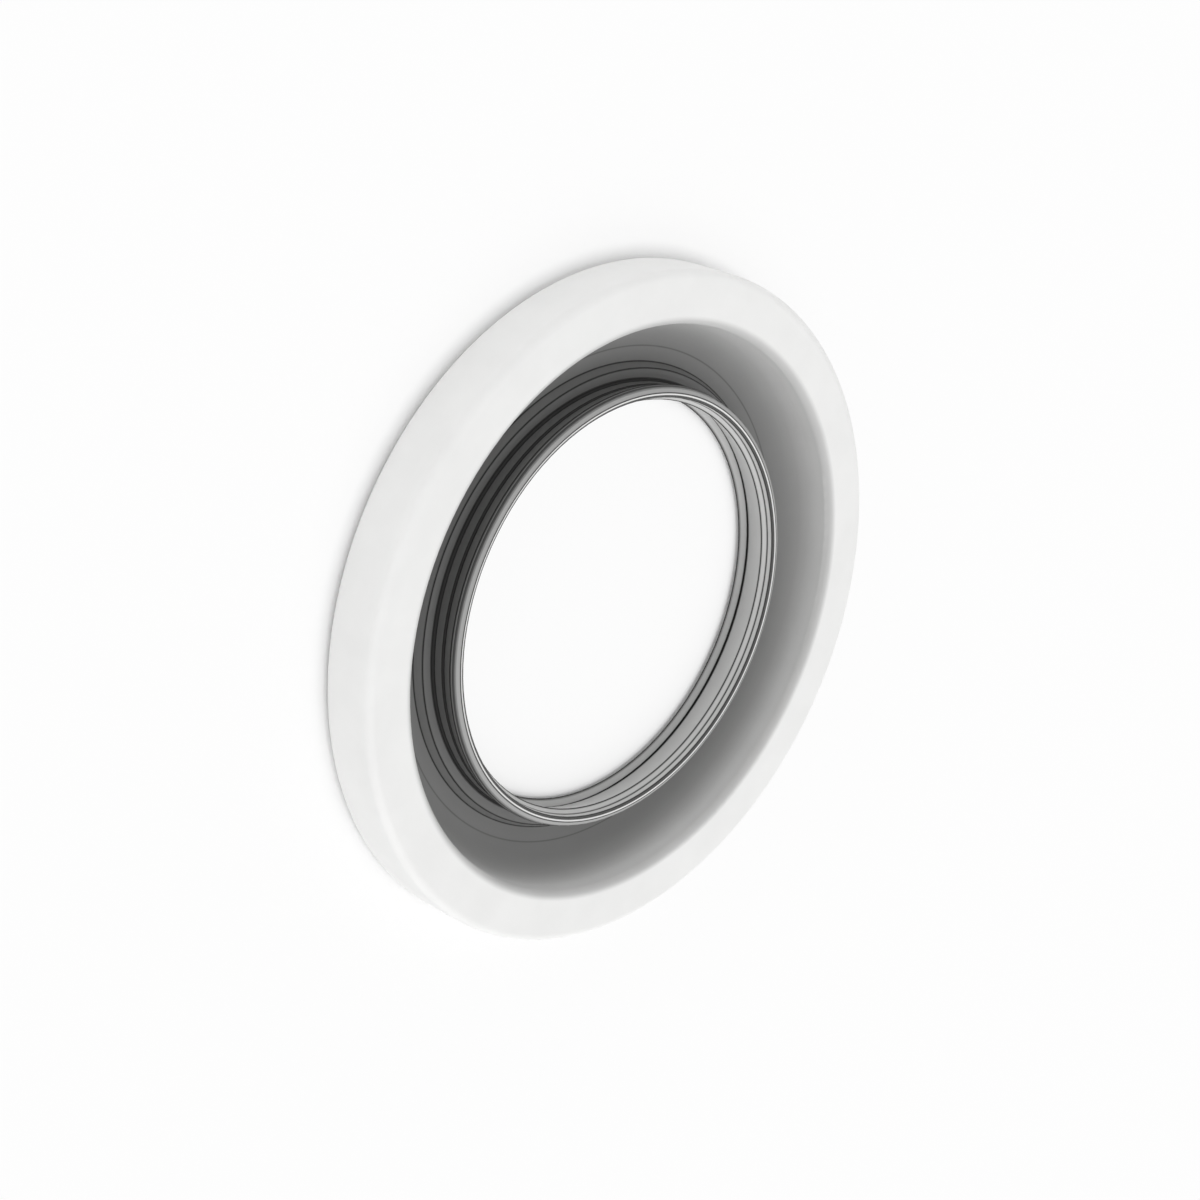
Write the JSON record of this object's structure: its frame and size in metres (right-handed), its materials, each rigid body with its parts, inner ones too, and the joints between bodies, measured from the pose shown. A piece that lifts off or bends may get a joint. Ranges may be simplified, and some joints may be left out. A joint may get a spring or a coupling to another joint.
{
  "type": "shaft sealing ring",
  "caption": "Round white rubber shaft seal: a solid rim pressed into a housing, and a thin web carrying a hub with a main lip and a dust lip that run on a shaft",
  "frame": {"origin": "centre of the flat back face, on the shaft axis", "axes": "+Z along the shaft axis, out of the side with the bowl and the hub; X and Y lie in the back face"},
  "size_m": [0.08, 0.08, 0.0073],
  "materials": {
    "white_rubber": "matte moulded white nitrile rubber"
  },
  "bodies": {
    "root": {"sealing_ring": "white_rubber"}
  },
  "joints": []
}
